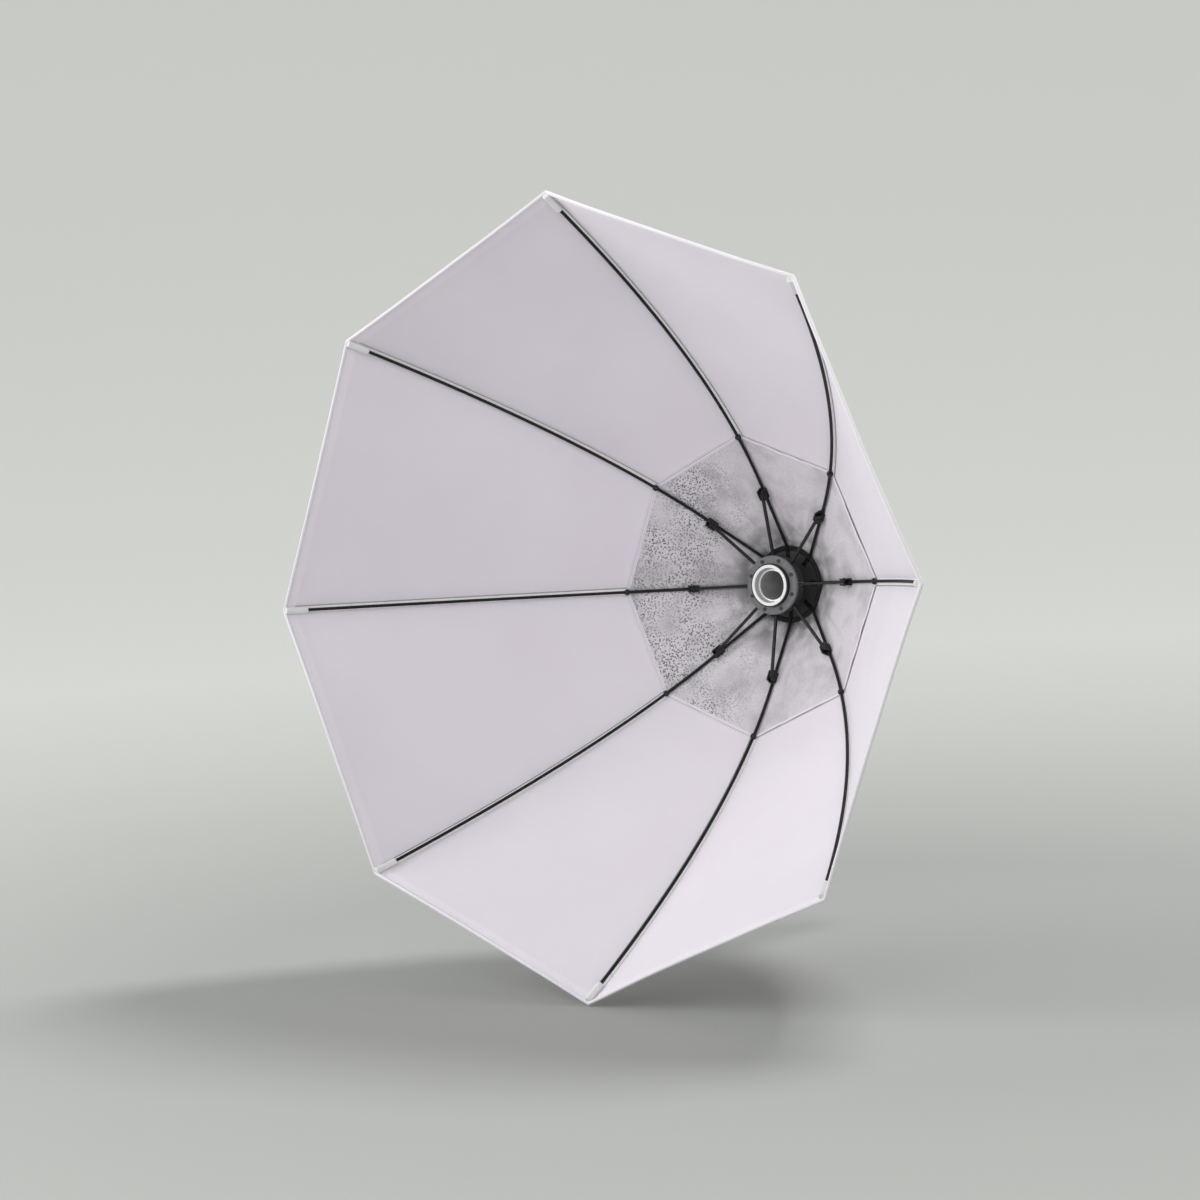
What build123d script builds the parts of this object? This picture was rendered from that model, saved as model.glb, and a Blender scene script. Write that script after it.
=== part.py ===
from build123d import *
from math import acos, atan2, cos, hypot, radians, sin, tan
import os

# Deep eight-rib umbrella reflector, open, in millimetres.
# The umbrella's axis is Y. The opening faces -Y, +Z is up, and the origin is the centre
# of the centre tube's front end. Points of the side view are (radius, rearward distance).

# The umbrella as a whole
RIBS = 8
TIP_RADIUS = 350.0
TIP_FORWARD = 319.4
TIP_ANGLE = 60.3
FOLDED_TIP_RADIUS = 34.0
STEP_ANGLE = 360 / RIBS
HALF_STEP = STEP_ANGLE / 2

# Ribs and stretchers, with the pins they turn on
RIB_DIAMETER = 3.0
PIN_DIAMETER = 2.0
PIN_CLEARANCE = 0.1
SIDE_CLEARANCE = 0.5
EYE_WALL = 1.6
EYE_DIAMETER = PIN_DIAMETER + 2 * EYE_WALL
EYE_WIDTH = 3.8
ROOT_PIN_DIAMETER = 2.4
ROOT_PIN_REACH = 3.1
STRETCHER_THICKNESS = 2.4
STRETCHER_HEIGHT = 2.6
RUNNER_PIN_SEAT = 2.8

# Centre tube, its mouth ring and the clamp collar at its rear end
BORE_RADIUS = 14.5
TUBE_WALL = 2.0
TUBE_RADIUS = BORE_RADIUS + TUBE_WALL
SLIDE_FIT = 0.1
RING_FRONT = -6.4
RING_LIP = 2.9
RING_DEPTH = 3.0
RING_EDGE = 0.6
RING_THROAT_FLARE = 0.9
RING_SLEEVE_WALL = 1.7
RING_LIP_STEP = 1.95
RING_THROAT_RADIUS = BORE_RADIUS + RING_THROAT_FLARE
RING_SLEEVE_RADIUS = TUBE_RADIUS + RING_SLEEVE_WALL
RING_RADIUS = RING_SLEEVE_RADIUS + RING_LIP_STEP
COLLAR_LENGTH = 14.0
COLLAR_WALL = 5.0
COLLAR_EDGE = 1.2
STOP_GAP = 3.0

# Runner and its front plate
NOSE_SETBACK = 0.8
NOSE_WALL = 1.15
NOSE_FRONT = RING_FRONT + NOSE_SETBACK
NOSE_RADIUS = RING_RADIUS + NOSE_WALL
PLATE_FRONT = -1.4
PLATE_THICKNESS = 3.0
PLATE_EDGE = 0.5
RUNNER_SKIN = 0.6
RUNNER_PIN_DEPTH = 3.2
RUNNER_RIM = 4.0
RUNNER_TAIL = 6.8
RUNNER_PIVOT = (
    NOSE_RADIUS + RUNNER_SKIN + SIDE_CLEARANCE + EYE_DIAMETER / 2,
    PLATE_FRONT + PLATE_THICKNESS + RUNNER_PIN_DEPTH,
)
RUNNER_RADIUS = RUNNER_PIVOT[0] + RUNNER_RIM
RUNNER_REAR = RUNNER_PIVOT[1] + RUNNER_TAIL

# Crown, its cap and its sleeve. The slots leave the rib roots room to lag behind the crown
CROWN_FRONT = 29.6
CROWN_FACE = 2.5
CROWN_CORE_WALL = 7.3
CROWN_PIN_DEPTH = 3.5
CROWN_RIM = 6.0
CROWN_BORE = TUBE_RADIUS + SLIDE_FIT
CROWN_PIVOT = (
    CROWN_BORE + CROWN_CORE_WALL + SIDE_CLEARANCE + EYE_DIAMETER / 2,
    CROWN_FRONT + CROWN_FACE + CROWN_PIN_DEPTH,
)
CROWN_RADIUS = CROWN_PIVOT[0] + CROWN_RIM
OPEN_PIVOT_REACH = 14.5
CROWN_REAR = CROWN_PIVOT[1] + OPEN_PIVOT_REACH + EYE_DIAMETER / 2
CAP_THICKNESS = 2.5
CAP_EDGE = 1.5
CAP_REAR = CROWN_REAR + CAP_THICKNESS
SLEEVE_WALL = 4.7
SLEEVE_LENGTH = 13.5
SLEEVE_RADIUS = CROWN_BORE + SLEEVE_WALL
SLEEVE_REAR = CAP_REAR + SLEEVE_LENGTH

# Brackets, where the stretchers meet the ribs
BRACKET_POINT = (90.8, -5.8)
BRACKET_LENGTH = 11.0
BRACKET_CHEEK = 1.7
BRACKET_EDGE = 1.0
BRACKET_FLOOR = 0.3
BRACKET_GAPE = 0.4
EYE_STANDOFF = 0.4
PIVOT_STANDOFF = RIB_DIAMETER / 2 + EYE_DIAMETER / 2 + EYE_STANDOFF
BRACKET_BACK = RIB_DIAMETER / 2 - BRACKET_GAPE
BRACKET_TOP = EYE_DIAMETER / 2
RIVET_HEAD = 0.6

# Tip caps
TIP_CAP_LENGTH = 22.0
TIP_CAP_WALL = 1.8
TIP_CAP_BACK_WALL = 0.4
TIP_CAP_RADIUS = RIB_DIAMETER / 2 + TIP_CAP_WALL
TIP_CAP_BACK = RIB_DIAMETER / 2 + TIP_CAP_BACK_WALL
TIP_CAP_END = 3.0
TIP_CAP_EDGE = 1.2
TIP_CAP_FIT = 0.135

# Canopy and inner lining, which lie behind the ribs
CANOPY_HEM_GAP = 2.5
CANOPY_START = CROWN_RADIUS + CANOPY_HEM_GAP
LINING_CORNER_SHARE = 0.197
LINING_STANDOFF = 0.7
LINING_THICKNESS = 0.6
LAYER_GAP = 0.4
LINING_OFFSET = RIB_DIAMETER / 2 + LINING_STANDOFF
CANOPY_OFFSET = LINING_OFFSET + LINING_THICKNESS + LAYER_GAP
CANOPY_THICKNESS = 0.8
SEAM_GAP = 0.4

# Screws
PLATE_SCREW_CIRCLE = (NOSE_RADIUS + RUNNER_RADIUS) / 2
PLATE_SCREW_SHANK = 1.0
PLATE_SCREW_HEAD = 1.9
PLATE_SCREW_HEAD_HEIGHT = 1.1
PLATE_SCREW_LENGTH = 8.0
CAP_SCREWS = 4
CAP_SCREW_INSET = 4.5
CAP_SCREW_CIRCLE = CROWN_RADIUS - CAP_SCREW_INSET
CAP_SCREW_SHANK = 1.25
CAP_SCREW_HEAD = 2.4
CAP_SCREW_HEAD_HEIGHT = 1.6
CAP_SCREW_LENGTH = 12.0
THUMB_SHANK = 2.5
THUMB_FIT = 0.06
THUMB_HOLE = THUMB_SHANK + THUMB_FIT
THUMB_TIP_GAP = 0.1
THUMB_KNOB_RADIUS = 6.0
THUMB_KNOB_HEIGHT = 9.0
THUMB_KNOB_LIFT = 1.0
THUMB_FLUTES = 10
FLUTE_RADIUS = 1.0
FLUTE_OUTSET = 0.4


def minus(a, b):
    return (a[0] - b[0], a[1] - b[1])


def along(point, direction, distance):
    return (point[0] + direction[0] * distance, point[1] + direction[1] * distance)


def unit(vector):
    size = hypot(*vector)
    return (vector[0] / size, vector[1] / size)


def turned(vector):
    """The vector turned a quarter turn, so that a path running outward gets its rear side."""
    return (-vector[1], vector[0])


def crossing(point_a, direction_a, point_b, direction_b):
    """Where two straight lines of the side view meet."""
    gap = minus(point_b, point_a)
    spread = direction_a[0] * direction_b[1] - direction_a[1] * direction_b[0]
    distance = (gap[0] * direction_b[1] - gap[1] * direction_b[0]) / spread
    return along(point_a, direction_a, distance)


# The rib is straight from the crown to past its bracket, then one smooth curve to its tip
ROOT_DIRECTION = unit(minus(BRACKET_POINT, CROWN_PIVOT))
KNEE_POINT = along(BRACKET_POINT, ROOT_DIRECTION, BRACKET_LENGTH / 2)
TIP_DIRECTION = (cos(radians(TIP_ANGLE)), -sin(radians(TIP_ANGLE)))
TIP_POINT = (TIP_RADIUS, -TIP_FORWARD)
WIRE_END = along(TIP_POINT, TIP_DIRECTION, -TIP_CAP_END)
RIB_CONTROL = crossing(KNEE_POINT, ROOT_DIRECTION, TIP_POINT, TIP_DIRECTION)
STRETCHER_END = along(BRACKET_POINT, turned(ROOT_DIRECTION), -PIVOT_STANDOFF)
STRETCHER_SPAN = minus(STRETCHER_END, RUNNER_PIVOT)
STRETCHER_LENGTH = hypot(*STRETCHER_SPAN)


def tip_bend():
    """How far the rib's curve leaves the line of the tip cap within the cap's length."""
    control_to_tip = hypot(*minus(TIP_POINT, RIB_CONTROL))
    knee_to_tip = minus(TIP_POINT, KNEE_POINT)
    aside = abs(knee_to_tip[0] * TIP_DIRECTION[1] - knee_to_tip[1] * TIP_DIRECTION[0])
    return aside * (TIP_CAP_LENGTH / (2 * control_to_tip)) ** 2


def crown_travel():
    """How far the crown slides back on the tube when the umbrella folds."""
    tip = minus(TIP_POINT, CROWN_PIVOT)
    folded_tip_angle = atan2(FOLDED_TIP_RADIUS - CROWN_PIVOT[0], hypot(*tip))
    turn = atan2(tip[0], -tip[1]) - folded_tip_angle
    arm = minus(STRETCHER_END, CROWN_PIVOT)
    folded_arm_angle = atan2(arm[0], -arm[1]) - turn
    end_radius = CROWN_PIVOT[0] + hypot(*arm) * sin(folded_arm_angle)
    swing = acos((end_radius - RUNNER_PIVOT[0]) / STRETCHER_LENGTH)
    end_rearward = RUNNER_PIVOT[1] + STRETCHER_LENGTH * sin(swing)
    return end_rearward + hypot(*arm) * cos(folded_arm_angle) - CROWN_PIVOT[1]


COLLAR_FRONT = SLEEVE_REAR + crown_travel() + STOP_GAP
TUBE_REAR = COLLAR_FRONT + COLLAR_LENGTH


def radial(azimuth):
    """The outward direction, counter-clockwise from +X as seen from the opening."""
    return (cos(radians(azimuth)), 0, sin(radians(azimuth)))


def side_plane(azimuth):
    """The half plane of one rib: local x is the radius, local y runs rearward."""
    return Plane(
        origin=(0, 0, 0),
        x_dir=radial(azimuth),
        z_dir=(-sin(radians(azimuth)), 0, cos(radians(azimuth))),
    )


def axial_plane(rearward, azimuth=0.0):
    """A plane across the axis: local x is the radius at the azimuth, its normal is rearward."""
    return Plane(origin=(0, rearward, 0), x_dir=radial(azimuth), z_dir=(0, 1, 0))


def path_plane(azimuth, point, direction):
    """A plane in the side view with local x along the direction and its origin at the point."""
    side = side_plane(azimuth)
    return Plane(
        origin=side.from_local_coords((point[0], point[1], 0)),
        x_dir=side.x_dir * direction[0] + side.y_dir * direction[1],
        z_dir=side.z_dir,
    )


def cross_plane(azimuth, point, direction):
    """A plane square to the direction, through the point of the side view."""
    frame = path_plane(azimuth, point, direction)
    return Plane(origin=frame.origin, x_dir=frame.z_dir, z_dir=frame.x_dir)


def rib_azimuth(number):
    return 90 + STEP_ANGLE * (number - 1)


def save(piece, name):
    piece.label = name
    export_step(piece, f"parts/{name}.step")


def make_centre_tube():
    with BuildPart() as centre_tube:
        with BuildSketch(axial_plane(0)):
            Circle(TUBE_RADIUS)
            Circle(BORE_RADIUS, mode=Mode.SUBTRACT)
        extrude(amount=TUBE_REAR)
        with BuildSketch(Plane.XY):
            with Locations((0, COLLAR_FRONT + COLLAR_LENGTH / 2)):
                Circle(THUMB_HOLE)
        extrude(amount=2 * TUBE_RADIUS, mode=Mode.SUBTRACT)
    return centre_tube.part


def make_mouth_ring():
    """A bright flanged ring whose throat narrows to the end of the centre tube."""
    lip_rear = RING_FRONT + RING_DEPTH
    with BuildPart() as mouth_ring:
        with BuildSketch(Plane.XY):
            with BuildLine():
                Polyline(
                    (RING_RADIUS - RING_LIP, RING_FRONT),
                    (RING_RADIUS, RING_FRONT),
                    (RING_RADIUS, lip_rear),
                    (RING_SLEEVE_RADIUS, lip_rear),
                    (RING_SLEEVE_RADIUS, 0),
                    (RING_THROAT_RADIUS, 0),
                    close=True,
                )
            make_face()
        revolve(axis=Axis.Y)
        lip = mouth_ring.edges().group_by(Axis.Y)[0]
        fillet(lip, radius=RING_EDGE)
    return mouth_ring.part


def make_runner():
    """The front hub: a nose round the mouth ring and posts that hold the stretchers' pins."""
    lip_rear = RING_FRONT + RING_DEPTH
    plate_rear = PLATE_FRONT + PLATE_THICKNESS
    slot_start = NOSE_RADIUS + RUNNER_SKIN
    pin_reach = STRETCHER_THICKNESS / 2 + SIDE_CLEARANCE + RUNNER_PIN_SEAT
    with BuildPart() as runner:
        with BuildSketch(Plane.XY):
            with BuildLine():
                Polyline(
                    (RING_RADIUS, NOSE_FRONT),
                    (NOSE_RADIUS, NOSE_FRONT),
                    (NOSE_RADIUS, plate_rear),
                    (RUNNER_RADIUS, plate_rear),
                    (RUNNER_RADIUS, RUNNER_REAR),
                    (TUBE_RADIUS, RUNNER_REAR),
                    (TUBE_RADIUS, 0),
                    (RING_SLEEVE_RADIUS, 0),
                    (RING_SLEEVE_RADIUS, lip_rear),
                    (RING_RADIUS, lip_rear),
                    close=True,
                )
            make_face()
        revolve(axis=Axis.Y)
        with BuildSketch(axial_plane(plate_rear)):
            with PolarLocations(0, RIBS):
                with Locations((slot_start + RUNNER_RADIUS / 2, 0)):
                    Rectangle(RUNNER_RADIUS, STRETCHER_THICKNESS + 2 * SIDE_CLEARANCE)
        extrude(amount=RUNNER_REAR - plate_rear, mode=Mode.SUBTRACT)
        with BuildSketch(axial_plane(plate_rear, HALF_STEP)):
            with PolarLocations(PLATE_SCREW_CIRCLE, RIBS):
                Circle(PLATE_SCREW_SHANK)
        extrude(amount=PLATE_SCREW_LENGTH - PLATE_THICKNESS, mode=Mode.SUBTRACT)
        for number in range(RIBS):
            with BuildSketch(side_plane(number * STEP_ANGLE)):
                with Locations(RUNNER_PIVOT):
                    Circle(PIN_DIAMETER / 2)
            extrude(amount=pin_reach, both=True, mode=Mode.SUBTRACT)
    return runner.part


def make_runner_plate():
    with BuildPart() as runner_plate:
        with BuildSketch(axial_plane(PLATE_FRONT, HALF_STEP)):
            Circle(RUNNER_RADIUS)
            Circle(NOSE_RADIUS, mode=Mode.SUBTRACT)
            with PolarLocations(PLATE_SCREW_CIRCLE, RIBS):
                Circle(PLATE_SCREW_SHANK, mode=Mode.SUBTRACT)
        extrude(amount=PLATE_THICKNESS)
        rim = runner_plate.edges().filter_by(GeomType.CIRCLE).group_by(SortBy.RADIUS)[-1]
        chamfer(rim.group_by(Axis.Y)[0], length=PLATE_EDGE)
    return runner_plate.part


def screw_solids(head_plane, count, circle, shank, head, head_height, length):
    """Pan-head screws on one pitch circle, their heads standing in front of the plane."""
    with BuildPart() as screws:
        with BuildSketch(head_plane):
            with PolarLocations(circle, count):
                Circle(head)
        extrude(amount=-head_height)
        with BuildSketch(head_plane):
            with PolarLocations(circle, count):
                Circle(shank)
        extrude(amount=length)
    return screws.part


def make_plate_screws():
    return screw_solids(
        axial_plane(PLATE_FRONT, HALF_STEP), RIBS, PLATE_SCREW_CIRCLE,
        PLATE_SCREW_SHANK, PLATE_SCREW_HEAD, PLATE_SCREW_HEAD_HEIGHT, PLATE_SCREW_LENGTH,
    )


def make_crown_screws():
    cap_face = Plane(origin=(0, CAP_REAR, 0), x_dir=radial(HALF_STEP), z_dir=(0, -1, 0))
    return screw_solids(
        cap_face, CAP_SCREWS, CAP_SCREW_CIRCLE,
        CAP_SCREW_SHANK, CAP_SCREW_HEAD, CAP_SCREW_HEAD_HEIGHT, CAP_SCREW_LENGTH,
    )


def make_stretcher_pins():
    pin_reach = STRETCHER_THICKNESS / 2 + SIDE_CLEARANCE + RUNNER_PIN_SEAT
    with BuildPart() as stretcher_pins:
        for number in range(RIBS):
            with BuildSketch(side_plane(number * STEP_ANGLE)):
                with Locations(RUNNER_PIVOT):
                    Circle(PIN_DIAMETER / 2)
            extrude(amount=pin_reach, both=True)
    return stretcher_pins.part


def make_crown():
    """The rear hub, which slides on the tube; its slots let the rib roots out and rearward."""
    face_rear = CROWN_FRONT + CROWN_FACE
    slot_start = CROWN_BORE + CROWN_CORE_WALL
    rib_slot = EYE_WIDTH + 2 * SIDE_CLEARANCE
    pin_slot = rib_slot + 2 * ROOT_PIN_REACH
    with BuildPart() as crown:
        with BuildSketch(axial_plane(CROWN_FRONT)):
            Circle(CROWN_RADIUS)
            Circle(CROWN_BORE, mode=Mode.SUBTRACT)
        extrude(amount=CROWN_REAR - CROWN_FRONT)
        for width, start in ((rib_slot, CROWN_FRONT), (pin_slot, face_rear)):
            with BuildSketch(axial_plane(start)):
                with PolarLocations(0, RIBS):
                    with Locations((slot_start + CROWN_RADIUS / 2, 0)):
                        Rectangle(CROWN_RADIUS, width)
            extrude(amount=CROWN_REAR - start, mode=Mode.SUBTRACT)
        with BuildSketch(axial_plane(CROWN_REAR, HALF_STEP)):
            with PolarLocations(CAP_SCREW_CIRCLE, CAP_SCREWS):
                Circle(CAP_SCREW_SHANK)
        extrude(amount=CAP_THICKNESS - CAP_SCREW_LENGTH, mode=Mode.SUBTRACT)
        with BuildSketch(axial_plane(CROWN_REAR)):
            Circle(SLEEVE_RADIUS)
            Circle(CROWN_BORE, mode=Mode.SUBTRACT)
        extrude(amount=SLEEVE_REAR - CROWN_REAR)
        with BuildSketch(Plane.XY):
            with Locations((0, (CAP_REAR + SLEEVE_REAR) / 2)):
                Circle(THUMB_HOLE)
        extrude(amount=CROWN_RADIUS, mode=Mode.SUBTRACT)
    return crown.part


def make_crown_cap():
    with BuildPart() as crown_cap:
        with BuildSketch(axial_plane(CROWN_REAR, HALF_STEP)):
            Circle(CROWN_RADIUS)
            Circle(SLEEVE_RADIUS, mode=Mode.SUBTRACT)
            with PolarLocations(CAP_SCREW_CIRCLE, CAP_SCREWS):
                Circle(CAP_SCREW_SHANK, mode=Mode.SUBTRACT)
        extrude(amount=CAP_THICKNESS)
        rim = crown_cap.edges().filter_by(GeomType.CIRCLE).group_by(SortBy.RADIUS)[-1]
        fillet(rim.group_by(Axis.Y)[-1], radius=CAP_EDGE)
    return crown_cap.part


def make_rear_collar():
    with BuildPart() as rear_collar:
        with BuildSketch(axial_plane(COLLAR_FRONT)):
            Circle(TUBE_RADIUS + COLLAR_WALL)
            Circle(TUBE_RADIUS, mode=Mode.SUBTRACT)
        extrude(amount=COLLAR_LENGTH)
        outer = rear_collar.edges().filter_by(GeomType.CIRCLE).group_by(SortBy.RADIUS)[-1]
        fillet(outer, radius=COLLAR_EDGE)
        with BuildSketch(Plane.XY):
            with Locations((0, COLLAR_FRONT + COLLAR_LENGTH / 2)):
                Circle(THUMB_HOLE)
        extrude(amount=2 * TUBE_RADIUS, mode=Mode.SUBTRACT)
    return rear_collar.part


def make_thumb_screw(rearward, pressed_radius, seat_radius):
    """A fluted knob whose shank stops just short of the surface that it presses."""
    tip_radius = pressed_radius + THUMB_TIP_GAP
    knob_bottom = seat_radius + THUMB_KNOB_LIFT
    with BuildPart() as screw:
        with BuildSketch(Plane.XY.offset(tip_radius)):
            with Locations((0, rearward)):
                Circle(THUMB_SHANK)
        extrude(amount=knob_bottom - tip_radius)
        with BuildSketch(Plane.XY.offset(knob_bottom)):
            with Locations((0, rearward)):
                Circle(THUMB_KNOB_RADIUS)
                with PolarLocations(THUMB_KNOB_RADIUS + FLUTE_OUTSET, THUMB_FLUTES):
                    Circle(FLUTE_RADIUS, mode=Mode.SUBTRACT)
        extrude(amount=THUMB_KNOB_HEIGHT)
    return screw.part


def make_rib(azimuth):
    """A round wire with a flattened root and a cross pin at the crown."""
    side = side_plane(azimuth)
    with BuildPart() as rib:
        with BuildLine(side) as wire:
            Line(CROWN_PIVOT, KNEE_POINT)
            Bezier(KNEE_POINT, RIB_CONTROL, WIRE_END)
        with BuildSketch(cross_plane(azimuth, CROWN_PIVOT, ROOT_DIRECTION)):
            Circle(RIB_DIAMETER / 2)
        sweep(path=wire.line)
        with BuildSketch(side):
            with Locations(CROWN_PIVOT):
                Circle(EYE_DIAMETER / 2)
        extrude(amount=EYE_WIDTH / 2, both=True)
        with BuildSketch(side):
            with Locations(CROWN_PIVOT):
                Circle(ROOT_PIN_DIAMETER / 2)
        extrude(amount=EYE_WIDTH / 2 + ROOT_PIN_REACH, both=True)
    return rib.part


def make_stretcher(azimuth):
    """A flat bar with an eye at each end."""
    bar = path_plane(azimuth, RUNNER_PIVOT, unit(STRETCHER_SPAN))
    hole_radius = PIN_DIAMETER / 2 + PIN_CLEARANCE
    with BuildPart() as stretcher:
        with BuildSketch(bar):
            with Locations((STRETCHER_LENGTH / 2, 0)):
                Rectangle(STRETCHER_LENGTH, STRETCHER_HEIGHT)
            with Locations((0, 0), (STRETCHER_LENGTH, 0)):
                Circle(EYE_DIAMETER / 2)
            with Locations((0, 0), (STRETCHER_LENGTH, 0)):
                Circle(hole_radius, mode=Mode.SUBTRACT)
        extrude(amount=STRETCHER_THICKNESS / 2, both=True)
    return stretcher.part


def make_rib_bracket(azimuth):
    """A clip over the rib whose two cheeks hold the stretcher's outer eye on a rivet."""
    frame = path_plane(azimuth, BRACKET_POINT, ROOT_DIRECTION)
    slot = STRETCHER_THICKNESS + 2 * SIDE_CLEARANCE
    width = slot + 2 * BRACKET_CHEEK
    front = PIVOT_STANDOFF + BRACKET_TOP
    floor = RIB_DIAMETER / 2 + BRACKET_FLOOR
    with BuildPart() as bracket:
        with BuildSketch(frame):
            with Locations((0, (BRACKET_BACK - front) / 2)):
                RectangleRounded(BRACKET_LENGTH, BRACKET_BACK + front, BRACKET_EDGE)
        extrude(amount=width / 2, both=True)
        with BuildSketch(frame):
            with Locations((0, -floor - front / 2)):
                Rectangle(2 * BRACKET_LENGTH, front)
        extrude(amount=slot / 2, both=True, mode=Mode.SUBTRACT)
        with BuildSketch(cross_plane(azimuth, BRACKET_POINT, ROOT_DIRECTION)):
            Circle(RIB_DIAMETER / 2)
        extrude(amount=BRACKET_LENGTH, both=True, mode=Mode.SUBTRACT)
        with BuildSketch(frame):
            with Locations((0, -PIVOT_STANDOFF)):
                Circle(PIN_DIAMETER / 2)
        extrude(amount=width / 2 + RIVET_HEAD, both=True)
    return bracket.part


def make_tip_cap(azimuth):
    """A blind sleeve over the end of the rib, flat on the side that faces the canopy."""
    start = along(TIP_POINT, TIP_DIRECTION, -TIP_CAP_LENGTH)
    frame = path_plane(azimuth, start, TIP_DIRECTION)
    bore_depth = TIP_CAP_LENGTH - TIP_CAP_END
    with BuildPart() as cap:
        with BuildSketch(cross_plane(azimuth, start, TIP_DIRECTION)):
            Circle(TIP_CAP_RADIUS)
        extrude(amount=TIP_CAP_LENGTH)
        fillet(cap.edges().filter_by(GeomType.CIRCLE), radius=TIP_CAP_EDGE)
        with BuildSketch(cross_plane(azimuth, start, TIP_DIRECTION)):
            Circle(RIB_DIAMETER / 2 + tip_bend() + TIP_CAP_FIT)
        extrude(amount=bore_depth, mode=Mode.SUBTRACT)
        with BuildSketch(frame):
            with Locations((TIP_CAP_LENGTH / 2, TIP_CAP_BACK + TIP_CAP_RADIUS)):
                Rectangle(2 * TIP_CAP_LENGTH, 2 * TIP_CAP_RADIUS)
        extrude(amount=2 * TIP_CAP_RADIUS, both=True, mode=Mode.SUBTRACT)
    return cap.part


def panel_path(offset, share):
    """Side view of a sheet panel halfway between two ribs: its start, knee, control and end.

    The sheet is straight from rib to rib, so its middle lies nearer the axis by the cosine
    of half the step. It stands behind the ribs by the offset and runs out over a share of
    the curved stretch.
    """
    shrink = cos(radians(HALF_STEP))
    knee = (KNEE_POINT[0] * shrink, KNEE_POINT[1])
    control = (RIB_CONTROL[0] * shrink, RIB_CONTROL[1])
    end = (TIP_POINT[0] * shrink, TIP_POINT[1])
    first = unit(minus(control, knee))
    last = unit(minus(end, control))
    start = along(knee, first, (CANOPY_START - knee[0]) / first[0])
    first_side = turned(first)
    last_side = turned(last)
    knee = along(knee, first_side, offset)
    start = along(start, first_side, offset)
    end = along(end, last_side, offset)
    control = crossing(knee, first, end, last)
    near = along(knee, minus(control, knee), share)
    far = along(control, minus(end, control), share)
    return start, knee, near, along(near, minus(far, near), share)


def make_panel(azimuth, offset, thickness, share):
    """One panel of sheet between two ribs, as a thin solid with a gap at each seam."""
    inner = panel_path(offset, share)
    outer = panel_path(offset + thickness, share)
    wedge_apex = SEAM_GAP / sin(radians(HALF_STEP))
    reach = 2 * TIP_RADIUS
    spread = reach * tan(radians(HALF_STEP))
    with BuildPart() as panel:
        with BuildSketch(side_plane(azimuth)):
            with BuildLine():
                Line(inner[0], inner[1])
                Bezier(inner[1], inner[2], inner[3])
                Line(inner[3], outer[3])
                Bezier(outer[3], outer[2], outer[1])
                Line(outer[1], outer[0])
                Line(outer[0], inner[0])
            make_face()
        extrude(amount=TIP_RADIUS / 2, both=True)
        with BuildSketch(axial_plane(-2 * TIP_FORWARD, azimuth)):
            with BuildLine():
                Polyline(
                    (wedge_apex, 0),
                    (wedge_apex + reach, spread),
                    (wedge_apex + reach, -spread),
                    close=True,
                )
            make_face()
        extrude(amount=4 * TIP_FORWARD, mode=Mode.INTERSECT)
    return panel.part


os.makedirs("parts", exist_ok=True)
save(make_centre_tube(), "centre_tube")
save(make_mouth_ring(), "mouth_ring")
save(make_runner(), "runner")
save(make_runner_plate(), "runner_plate")
save(make_plate_screws(), "plate_screws")
save(make_stretcher_pins(), "stretcher_pins")
save(make_crown(), "crown")
save(make_crown_cap(), "crown_cap")
save(make_crown_screws(), "crown_screws")
save(make_rear_collar(), "rear_collar")
sleeve_middle = (CAP_REAR + SLEEVE_REAR) / 2
save(make_thumb_screw(sleeve_middle, TUBE_RADIUS, SLEEVE_RADIUS), "crown_lock_screw")
collar_middle = COLLAR_FRONT + COLLAR_LENGTH / 2
save(make_thumb_screw(collar_middle, BORE_RADIUS, TUBE_RADIUS + COLLAR_WALL), "rod_clamp_screw")
for number in range(1, RIBS + 1):
    rib_at = rib_azimuth(number)
    gore_at = rib_at + HALF_STEP
    save(make_rib(rib_at), f"rib_{number}")
    save(make_stretcher(rib_at), f"stretcher_{number}")
    save(make_rib_bracket(rib_at), f"rib_bracket_{number}")
    save(make_tip_cap(rib_at), f"tip_cap_{number}")
    save(make_panel(gore_at, CANOPY_OFFSET, CANOPY_THICKNESS, 1.0), f"gore_{number}")
    lining = make_panel(gore_at, LINING_OFFSET, LINING_THICKNESS, LINING_CORNER_SHARE)
    save(lining, f"lining_{number}")
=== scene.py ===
"""A deep white umbrella reflector seen into its open side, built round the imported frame."""
from math import atan2, cos, hypot, pi, radians, sin, tan

import bmesh
import bpy
import numpy as np
from mathutils import Matrix, Vector


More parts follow.
